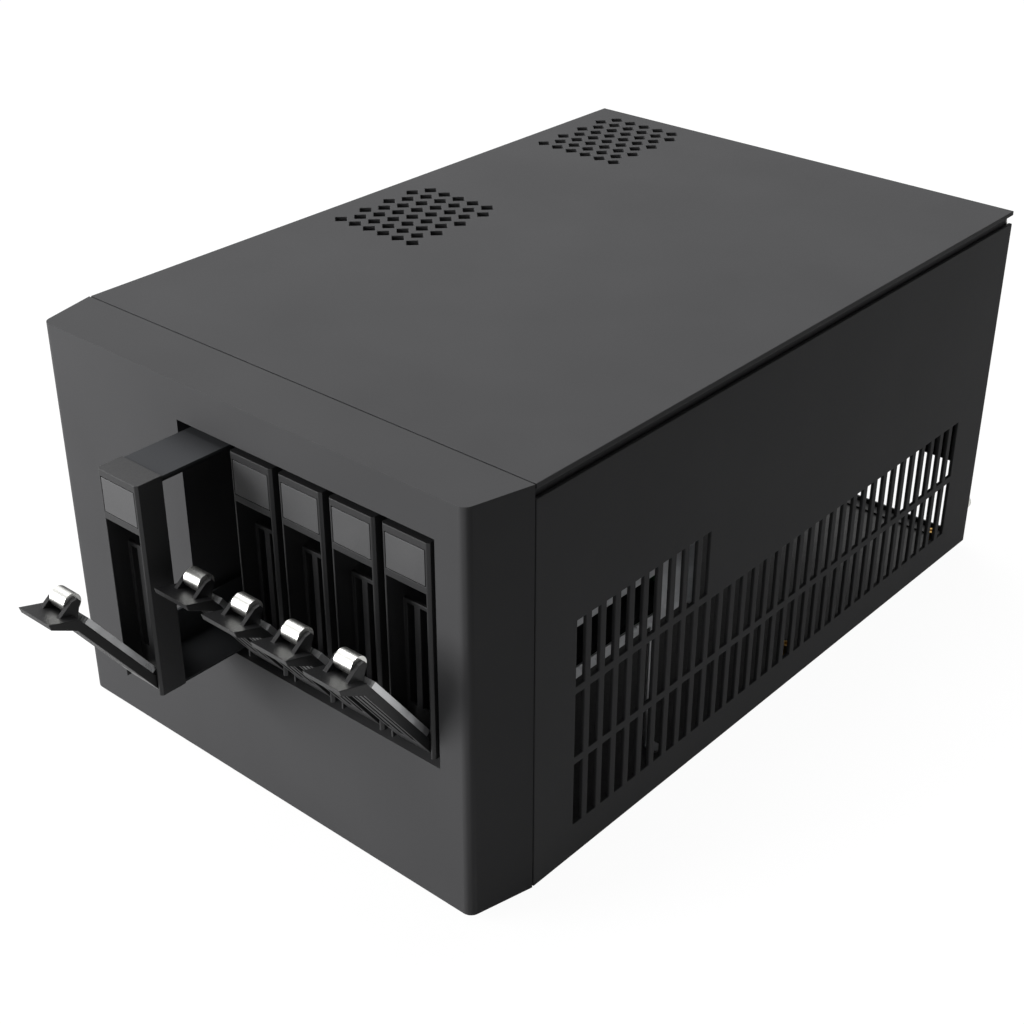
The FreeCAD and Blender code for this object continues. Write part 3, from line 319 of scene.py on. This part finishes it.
def solder_mask(name, colour, track):
    """Glossy solder mask on glass-fibre board: green, with paler raised lines over the copper."""
    made, tree, shader, where = start_material(name)
    stretched = add(tree, "ShaderNodeMapping", {"Vector": where, "Scale": (1, 1, 0.12)}).outputs["Vector"]
    cells = add(tree, "ShaderNodeTexVoronoi", {"Vector": stretched, "Scale": per_metre(2.5)},
                feature="DISTANCE_TO_EDGE").outputs["Distance"]
    copper = add(tree, "ShaderNodeMapRange", {"Value": cells, "From Min": 0.1, "From Max": 0.14,
                                              "To Min": 1.0, "To Max": 0.0}).outputs["Result"]
    mixed = add(tree, "ShaderNodeMix", {"Factor": copper, 6: colour, 7: track}, data_type="RGBA").outputs[2]
    gloss = between(tree, grain(tree, where, 3.0), 0.25, 0.36)
    fill(tree, shader, {"Base Color": mixed, "Roughness": gloss, "IOR": 1.55,
                        "Normal": raised(tree, copper, 0.3, 0.04)})
    return made


def dress(name, material, edge=0.0):
    """Gives a piece of the frame its finish and, where asked, softened edges."""
    piece = NODES[name]
    piece.data.materials.clear()
    piece.data.materials.append(material)
    if edge:
        joined = piece.modifiers.new("Joined corners", "WELD")
        joined.merge_threshold = MERGE_DISTANCE
        soft = piece.modifiers.new("Soft edges", "BEVEL")
        soft.width = edge
        soft.segments = 2
        soft.limit_method = "ANGLE"
        soft.angle_limit = SOFT_EDGE_ANGLE
        soft.harden_normals = True


def begin(name, primitive, **settings):
    """Adds a primitive as the start of a new piece, with nothing else selected."""
    bpy.ops.object.select_all(action="DESELECT")
    primitive(**settings)
    piece = bpy.context.object
    piece.name = name
    piece.data.name = name
    return piece


def only(*pieces):
    """Selects these pieces alone, the last one active."""
    bpy.ops.object.select_all(action="DESELECT")
    for piece in pieces:
        piece.select_set(True)
    bpy.context.view_layer.objects.active = pieces[-1]


def pick_faces(piece, test):
    """Selects the faces of the piece in edit mode that pass a test."""
    mesh = bmesh.from_edit_mesh(piece.data)
    bpy.ops.mesh.select_mode(type="FACE")
    bpy.ops.mesh.select_all(action="DESELECT")
    for face in mesh.faces:
        face.select = test(face)
    mesh.select_flush_mode()
    bmesh.update_edit_mesh(piece.data)


def apply_modifier(piece, kind, **settings):
    only(piece)
    made = piece.modifiers.new(kind.title(), kind)
    for key, value in settings.items():
        setattr(made, key, value)
    bpy.ops.object.modifier_apply(modifier=made.name)


def cut(piece, size, turn=0.0, height=0.0):
    """Takes a block out of the piece, turned about Z."""
    cutter = begin("cutter", bpy.ops.mesh.primitive_cube_add, size=1, location=(0, 0, height),
                   rotation=(0, 0, turn), scale=size)
    apply_modifier(piece, "BOOLEAN", object=cutter, operation="DIFFERENCE", solver="EXACT")
    bpy.data.objects.remove(cutter)


def put_copies(piece, name, places, rotation):
    """Turns the piece, sets a copy at each place and joins them into one object at the origin."""
    copies = []
    for place in places:
        copy = piece.copy()
        copy.data = piece.data.copy()
        bpy.context.scene.collection.objects.link(copy)
        copy.location = place
        copy.rotation_euler = rotation
        copies.append(copy)
    bpy.data.objects.remove(piece)
    only(*copies)
    bpy.ops.object.transform_apply(location=True, rotation=True, scale=True)
    bpy.ops.object.join()
    joined = bpy.context.object
    bpy.ops.object.transform_apply(location=True, rotation=True, scale=True)
    joined.name = name
    joined.data.name = name
    bpy.ops.object.shade_smooth_by_angle(angle=SMOOTH_ANGLE)
    return joined


def belong(piece, body, slot, material, *replaced):
    """Gives the piece its finish and body, and hides the frame pieces that it stands for; the slot is not
    used.
    """
    piece.data.materials.clear()
    piece.data.materials.append(material)
    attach(piece, body)
    if replaced:
        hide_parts(*replaced)


def nickel():
    """Finish of rollers and screws, made the first time that it is asked for."""
    name = "nickel_plated_steel"
    return bpy.data.materials.get(name) or plated_metal(name, colours().nickel, 0.3)


def merged_copy(node, name):
    """Copy of a frame piece with its corners joined, in edit mode with all of it selected."""
    piece = NODES[node].copy()
    piece.data = NODES[node].data.copy()
    piece.name = name
    piece.data.name = name
    bpy.context.scene.collection.objects.link(piece)
    only(piece)
    bpy.ops.object.mode_set(mode="EDIT")
    bpy.ops.mesh.select_all(action="SELECT")
    bpy.ops.mesh.remove_doubles(threshold=MERGE_DISTANCE)
    return piece


def cross_head(name, radius, height):
    """Pan head with a rounded rim and a cross recess, standing on Z = 0."""
    head = begin(name, bpy.ops.mesh.primitive_cylinder_add, vertices=28, radius=radius, depth=height,
                 location=(0, 0, height / 2))
    bpy.ops.object.transform_apply(location=True, rotation=True, scale=True)
    bpy.ops.object.mode_set(mode="EDIT")
    pick_faces(head, lambda face: face.normal.z > 0.9)
    rim = height * 0.6
    bpy.ops.mesh.bevel(offset=rim, segments=4, affect="EDGES")
    bpy.ops.object.mode_set(mode="OBJECT")
    stroke = (radius * 1.15, sizes().recess_width, height)
    # The second stroke of the cross is a little deeper, so that the two floors don't lie in one plane
    for turn, lift in ((0, 1.05), (math.pi / 2, 1.02)):
        cut(head, stroke, turn, height * lift)
    return head


class CASE_OT_panels(bpy.types.Operator):
    """Satin anodised outer panels with softened edges"""
    bl_idname = "server_case.panels"
    bl_label = "Outer panels"

    def execute(self, context):
        satin = blasted_anodised_aluminium("blasted_anodised_aluminium_black", colours().panel, 0.5)
        for name in ("front_panel", "top_cover", "right_side_panel", "left_side_panel"):
            dress(name, satin, sizes().panel_edge)
        dress("power_button", satin, sizes().moulded_edge)
        return {"FINISHED"}


class CASE_OT_chassis(bpy.types.Operator):
    """Powder-coated inner steel"""
    bl_idname = "server_case.chassis"
    bl_label = "Chassis"

    def execute(self, context):
        coat = powder_coated_steel("powder_coated_steel_black", colours().chassis)
        for name in ("bottom_panel", "front_wall", "rear_panel", "power_supply_ledge"):
            dress(name, coat, sizes().sheet_edge)
        return {"FINISHED"}


class CASE_OT_cage(bpy.types.Operator):
    """Plated drive cage with its combs, backplane and sockets"""
    bl_idname = "server_case.cage"
    bl_label = "Drive cage"

    def execute(self, context):
        zinc = zinc_plated_steel("zinc_plated_steel_sheet", colours().cage)
        for name in ("cage_right_wall", "cage_left_wall", "cage_floor", "cage_roof",
                     "card_slot_cover_1", "card_slot_cover_2"):
            dress(name, zinc, sizes().sheet_edge)
        comb = moulded_plastic("moulded_nylon_black", colours().lever, 0.5, 0.8)
        for name in ("lower_guide", "upper_guide", "drive_sockets"):
            dress(name, comb)
        dress("backplane", solder_mask("solder_mask_green", colours().board, colours().track))
        dress("board_standoffs", plated_metal("turned_brass", colours().brass, 0.3), sizes().sheet_edge)
        return {"FINISHED"}


class CASE_OT_trays(bpy.types.Operator):
    """Drive trays: moulded fronts, release pads, levers, inlays, rollers and carriers"""
    bl_idname = "server_case.trays"
    bl_label = "Drive trays"

    def execute(self, context):
        looks = {
            "bezel": moulded_plastic("moulded_abs_grey", colours().bezel, 0.5, 0.8),
            "button": moulded_plastic("moulded_abs_light_grey", colours().pad, 0.45, 0.8),
            "lever": moulded_plastic("moulded_abs_black", colours().lever, 0.42, 0.8),
            "caddy": blasted_anodised_aluminium("blasted_anodised_aluminium_grey", colours().caddy, 0.45),
            "strip": brushed_aluminium("brushed_aluminium_natural", colours().strip),
            "roller": nickel(),
        }
        for number in TRAYS:
            for piece, look in looks.items():
                dress("tray_%d_%s" % (number, piece), look, sizes().moulded_edge if piece in
                      ("bezel", "button", "lever") else 0.0)
        return {"FINISHED"}


class CASE_OT_fan(bpy.types.Operator):
    """Rear fan"""
    bl_idname = "server_case.fan"
    bl_label = "Rear fan"

    def execute(self, context):
        pbt = moulded_plastic("moulded_pbt_black", colours().lever, 0.38, 0.7)
        dress("fan_frame", pbt, sizes().moulded_edge)
        dress("fan_rotor", pbt)
        return {"FINISHED"}


class CASE_OT_thumbscrews(bpy.types.Operator):
    """Knurled thumbscrews at the rear folds"""
    bl_idname = "server_case.thumbscrews"
    bl_label = "Thumbscrews"

    def execute(self, context):
        low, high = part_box("rear_thumbscrews")
        radius = (high.z - low.z) / 2
        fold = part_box("right_side_panel")[1].y
        head = high.y - fold
        shank = fold - low.y
        ridges = sizes().thumb_ridges
        screw = begin("thumbscrew", bpy.ops.mesh.primitive_cylinder_add, vertices=2 * ridges,
                      radius=radius, depth=head, location=(0, 0, head / 2))
        bpy.ops.object.transform_apply(location=True, rotation=True, scale=True)
        apply_modifier(screw, "BEVEL", width=sizes().thumb_rim, segments=2, limit_method="ANGLE",
                       angle_limit=math.radians(60))
        slot = (radius * 1.1, sizes().recess_width, head / 3)
        for turn in THUMB_SLOT_TURNS:
            cut(screw, slot, math.radians(turn), head)
        only(screw)
        bpy.ops.object.mode_set(mode="EDIT")

        def groove(face):
            middle = face.calc_center_median()
            step = math.atan2(middle.y, middle.x) / math.pi * ridges
            outside = math.hypot(middle.x, middle.y) > radius - sizes().thumb_rim
            return outside and abs(face.normal.z) < 0.1 and round(step - 0.5) % 2 == 0

        pick_faces(screw, groove)
        bpy.ops.mesh.inset(thickness=sizes().knurl_margin, depth=-sizes().knurl_depth, use_individual=True)
        pick_faces(screw, lambda face: face.normal.z < -0.9 and face.calc_center_median().z < head * 0.1)
        bpy.ops.mesh.inset(thickness=radius - sizes().thumb_rim - sizes().thumb_shank, depth=0.0)
        bpy.ops.mesh.extrude_region_move(TRANSFORM_OT_translate={"value": (0, 0, -shank)})
        bpy.ops.object.mode_set(mode="OBJECT")
        places = [(x, fold, (low.z + high.z) / 2) for x in (low.x + radius, high.x - radius)]
        screws = put_copies(screw, "knurled_thumbscrews", places, (-math.pi / 2, 0, 0))
        belong(screws, "case", "screw_steel", nickel(), "rear_thumbscrews")
        return {"FINISHED"}


class CASE_OT_small_screws(bpy.types.Operator):
    """Cross-head screws of the cover, the card slots and the fan"""
    bl_idname = "server_case.small_screws"
    bl_label = "Small screws"

    def execute(self, context):
        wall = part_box("rear_panel")
        outer = wall[1].y
        height = (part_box("top_cover")[0].z + wall[1].z) / 2
        inset = sizes().cover_screw_inset
        cover = [(x, outer, height) for x in (wall[0].x + inset, wall[1].x - inset)]
        cards = []
        for number in (1, 2):
            low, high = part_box("card_slot_cover_%d" % number)
            cards.append(((low.x + high.x) / 2, outer, high.z - sizes().card_screw_inset))
        low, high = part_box("fan_frame")
        middle = (low + high) / 2
        reach = sizes().fan_hole_spacing / 2
        fan = [(middle.x + side * reach, outer, middle.z + rise * reach)
               for side in (-1, 1) for rise in (-1, 1)]
        small = sizes().screw_head
        for name, radius, places in (("cover_screw_heads", small, cover),
                                     ("card_slot_screw_heads", small, cards),
                                     ("fan_screw_heads", sizes().fan_head, fan)):
            screw = cross_head("screw", radius, sizes().screw_height)
            screws = put_copies(screw, name, places, (-math.pi / 2, 0, 0))
            belong(screws, "case", "screw_steel", nickel())
        return {"FINISHED"}


class CASE_OT_rivets(bpy.types.Operator):
    """Domed rivets along the drive cage's side plates"""
    bl_idname = "server_case.rivets"
    bl_label = "Cage rivets"

    def execute(self, context):
        radius = sizes().rivet_head
        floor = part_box("cage_floor")
        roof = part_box("cage_roof")
        sheet = floor[1].z - floor[0].z
        rise = sheet + RIVET_ROW_OFFSET * radius
        rows = (floor[0].z + rise, roof[1].z - rise)
        first = floor[0].y + sizes().rivet_inset
        step = (floor[1].y - sizes().rivet_inset - first) / (RIVETS_PER_ROW - 1)
        for side, word, edge in ((1, "right", floor[1].x), (-1, "left", floor[0].x)):
            face = edge + side * sheet
            rivet = begin("rivet", bpy.ops.mesh.primitive_uv_sphere_add, segments=14, ring_count=8,
                          radius=radius)
            bpy.ops.object.mode_set(mode="EDIT")
            bpy.ops.mesh.select_all(action="SELECT")
            bpy.ops.mesh.bisect(plane_co=(0, 0, 0), plane_no=(0, 0, 1), clear_inner=True, use_fill=True)
            bpy.ops.mesh.select_all(action="SELECT")
            bpy.ops.transform.resize(value=(1, 1, RIVET_FLATNESS), center_override=(0, 0, 0))
            bpy.ops.object.mode_set(mode="OBJECT")
            places = [(face, first + step * number, z) for z in rows for number in range(RIVETS_PER_ROW)]
            rivets = put_copies(rivet, "cage_rivets_" + word, places, (0, side * math.pi / 2, 0))
            belong(rivets, "case", "cage_steel", bpy.data.materials["zinc_plated_steel_sheet"])
        return {"FINISHED"}


class CASE_OT_feet(bpy.types.Operator):
    """Moulded rubber feet with rounded edges and a hollow underneath"""
    bl_idname = "server_case.feet"
    bl_label = "Feet"

    def execute(self, context):
        rubber = moulded_rubber("moulded_rubber_black", colours().rubber)
        for node in FEET:
            low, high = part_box(node)
            foot = merged_copy(node, node + "_moulded")
            bpy.ops.mesh.dissolve_limited(angle_limit=math.radians(0.5))
            pick_faces(foot, lambda face: face.normal.z < -0.9)
            bpy.ops.mesh.inset(thickness=(high.x - low.x) / 4, depth=0.0)
            bpy.ops.mesh.inset(thickness=sizes().foot_draft, depth=-sizes().foot_recess)
            bpy.ops.object.mode_set(mode="OBJECT")
            apply_modifier(foot, "BEVEL", width=sizes().foot_edge, segments=3, limit_method="ANGLE",
                           angle_limit=SOFT_EDGE_ANGLE)
            bpy.ops.object.shade_smooth_by_angle(angle=SMOOTH_ANGLE)
            belong(foot, "case", "foot_rubber", rubber, node)
        return {"FINISHED"}


def background_rays(tree):
    """1 for the rays that meet a white background: from the camera, off metal and through glass."""
    rays = add(tree, "ShaderNodeLightPath", {}).outputs
    seen = rays["Is Camera Ray"]
    for kind in ("Is Glossy Ray", "Is Transmission Ray"):
        seen = add(tree, "ShaderNodeMath", {0: seen, 1: rays[kind]}, operation="MAXIMUM").outputs[0]
    return seen


class CASE_OT_stage(bpy.types.Operator):
    """Pale floor, soft studio light and the camera"""
    bl_idname = "server_case.stage"
    bl_label = "Stage"

    def execute(self, context):
        scene = context.scene
        settings = scene.case_stage
        scene.view_settings.view_transform = "Standard"

        floor = begin("studio_floor", bpy.ops.mesh.primitive_plane_add, size=FLOOR_WIDTH)
        paper = bpy.data.materials.new("studio_paper")
        paper.use_nodes = True
        tree = paper.node_tree
        tree.nodes.remove(tree.nodes["Principled BSDF"])
        share = add(tree, "ShaderNodeMath", {0: background_rays(tree), 1: settings.floor_white},
                    operation="MULTIPLY").outputs[0]
        lit = add(tree, "ShaderNodeBsdfDiffuse", {"Color": settings.floor}).outputs[0]
        white = add(tree, "ShaderNodeEmission", {"Color": (1, 1, 1, 1),
                                                 "Strength": settings.floor_glow}).outputs[0]
        mixed = add(tree, "ShaderNodeMixShader", {0: share, 1: lit, 2: white})
        fill(tree, tree.nodes["Material Output"], {"Surface": mixed.outputs[0]})
        floor.data.materials.append(paper)

        world = bpy.data.worlds.new("studio_surround")
        scene.world = world
        world.use_nodes = True
        tree = world.node_tree
        towards = add(tree, "ShaderNodeTexCoord", {}).outputs["Generated"]
        across = add(tree, "ShaderNodeSeparateXYZ", {"Vector": towards}).outputs["X"]
        # The even light falls off from the far left to a little right of the middle
        dim = add(tree, "ShaderNodeMapRange", {"Value": across, "From Min": -1.0, "From Max": 0.6,
                                               "To Min": settings.fill_left,
                                               "To Max": settings.fill_right}).outputs[0]
        strength = add(tree, "ShaderNodeMapRange", {"Value": background_rays(tree), "To Min": dim,
                                                    "To Max": 1.0})
        fill(tree, tree.nodes["Background"], {"Color": (1, 1, 1, 1), "Strength": strength.outputs[0]})

        middle = (CAD_BOX[0] + CAD_BOX[1]) / 2
        for name, place, size, power in (("key_softbox", KEY_PLACE, KEY_WIDTH, settings.key_power),
                                         ("top_softbox", TOP_PLACE, TOP_WIDTH, settings.top_power)):
            light = bpy.data.lights.new(name, "AREA")
            light.size = size
            light.energy = power
            lamp = bpy.data.objects.new(name, light)
            lamp.visible_camera = False
            scene.collection.objects.link(lamp)
            lamp.location = place
            lamp.rotation_euler = (middle - Vector(place)).to_track_quat("-Z", "Y").to_euler()

        camera = bpy.data.cameras.new("photo_view")
        camera.lens = settings.lens
        camera.sensor_width = SENSOR_MILLIMETRES
        eye = bpy.data.objects.new("photo_view", camera)
        scene.collection.objects.link(eye)
        eye.location = CAMERA_PLACE
        eye.rotation_euler = Vector(CAMERA_DIRECTION).to_track_quat("-Z", "Y").to_euler()
        scene.camera = eye
        return {"FINISHED"}


OPERATORS = (CASE_OT_panels, CASE_OT_chassis, CASE_OT_cage, CASE_OT_trays, CASE_OT_fan, CASE_OT_thumbscrews,
             CASE_OT_small_screws, CASE_OT_rivets, CASE_OT_feet, CASE_OT_stage)


class CASE_PT_sidebar(bpy.types.Panel):
    """Lists the steps that dress the case"""
    bl_idname = "CASE_PT_sidebar"
    bl_label = "Server case"
    bl_space_type = "VIEW_3D"
    bl_region_type = "UI"
    bl_category = "Server case"

    def draw(self, context):
        for step in OPERATORS:
            self.layout.operator(step.bl_idname)
        for group in (context.scene.case_colours, context.scene.case_sizes, context.scene.case_stage):
            for name in group.__annotations__:
                self.layout.prop(group, name)


CLASSES = (CaseColours, CaseSizes, StageSettings) + OPERATORS + (CASE_PT_sidebar,)


def register():
    for entry in CLASSES:
        bpy.utils.register_class(entry)
    bpy.types.Scene.case_colours = PointerProperty(type=CaseColours)
    bpy.types.Scene.case_sizes = PointerProperty(type=CaseSizes)
    bpy.types.Scene.case_stage = PointerProperty(type=StageSettings)


def unregister():
    del bpy.types.Scene.case_stage
    del bpy.types.Scene.case_sizes
    del bpy.types.Scene.case_colours
    for entry in reversed(CLASSES):
        bpy.utils.unregister_class(entry)


def main():
    register()
    for step in OPERATORS:
        group, name = step.bl_idname.split(".")
        getattr(getattr(bpy.ops, group), name)()


if __name__ == "__main__":
    main()
